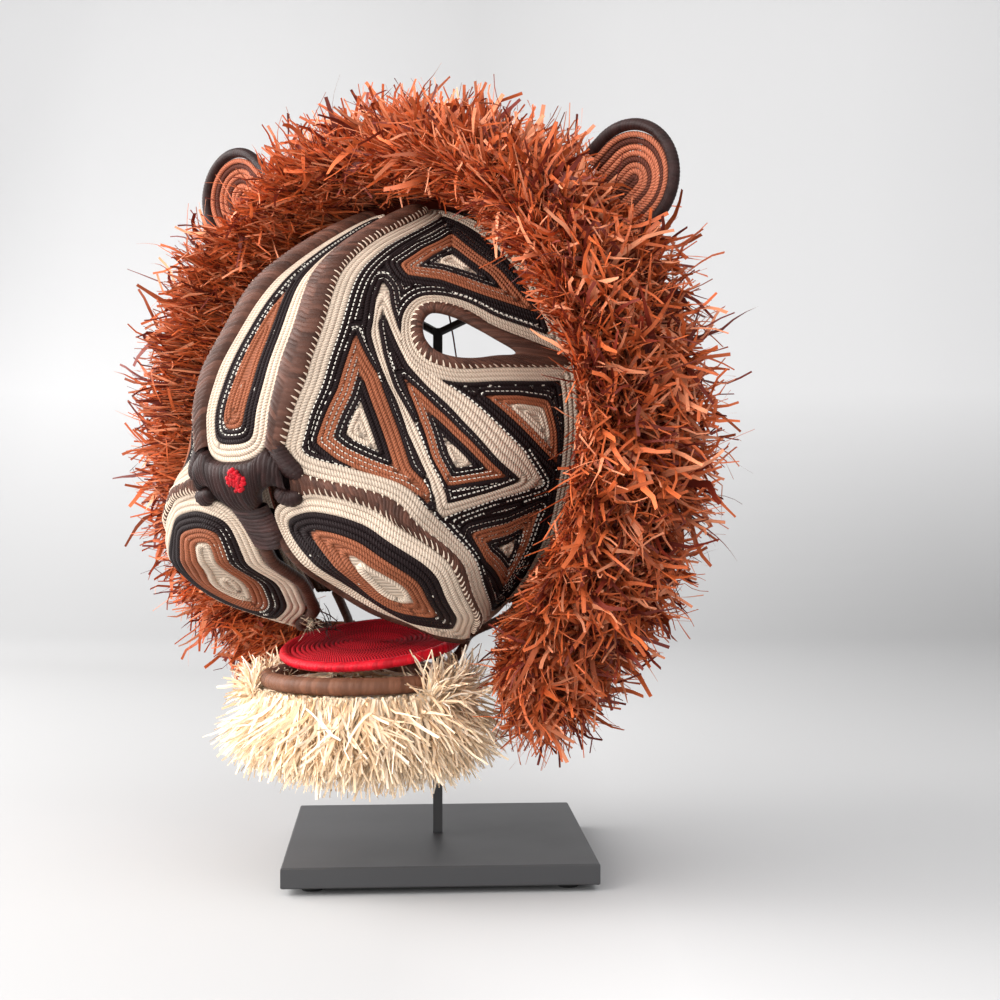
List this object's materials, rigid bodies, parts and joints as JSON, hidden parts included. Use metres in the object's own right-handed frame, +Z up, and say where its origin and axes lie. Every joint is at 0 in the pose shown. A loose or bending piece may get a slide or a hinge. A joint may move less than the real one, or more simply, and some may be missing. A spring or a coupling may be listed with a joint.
{
  "type": "woven lion mask and display stand",
  "caption": "Hollow coiled lion mask with eye, nostril and mouth openings, raffia mane and beard, on a square plate stand with a post.",
  "frame": {"origin": "on the floor under the middle of the whole, 22.5 mm in front of the stand post", "axes": "+Z up, the face looks towards -Y, +X is the mask's own left"},
  "size_m": [0.4254, 0.3021, 0.4684],
  "materials": {
    "beard_raffia": "natural cream raffia",
    "black_coil": "black coiled palm fibre with rust and cream pattern",
    "black_wrap": "satin black palm leaf wrap",
    "brown_coil": "plain coiled palm fibre",
    "brown_wrap": "satin brown palm leaf wrap",
    "cream_coil": "cream coiled palm fibre",
    "dark_wrap": "satin dark palm leaf wrap",
    "ear_coil": "rust coiled palm fibre",
    "foot_rubber": "matte",
    "mane_raffia": "rust dyed raffia",
    "stand_metal": "matte black",
    "tongue_coil": "crimson coiled palm fibre"
  },
  "bodies": {
    "root": {"base_plate": "stand_metal", "beard": "beard_raffia", "cheek_left": "black_coil", "cheek_right": "black_coil", "cheek_wrap_left": "brown_wrap", "cheek_wrap_right": "brown_wrap", "collar": "brown_coil", "ear_left": "ear_coil", "ear_right": "ear_coil", "ear_rim_left": "dark_wrap", "ear_rim_right": "dark_wrap", "eye_rim_left": "brown_wrap", "eye_rim_right": "brown_wrap", "foot_back": "foot_rubber", "foot_front": "foot_rubber", "foot_left": "foot_rubber", "foot_right": "foot_rubber", "jaw_cord_left": "brown_wrap", "jaw_cord_right": "brown_wrap", "lip_ring": "brown_wrap", "lip_wrap_left": "brown_wrap", "lip_wrap_right": "brown_wrap", "mane": "mane_raffia", "muzzle_pad_left": "cream_coil", "muzzle_pad_right": "cream_coil", "nose": "black_wrap", "nose_panel": "cream_coil", "ridge_wrap_left": "brown_wrap", "ridge_wrap_right": "brown_wrap", "stand_post": "stand_metal", "tongue": "tongue_coil"}
  },
  "joints": []
}
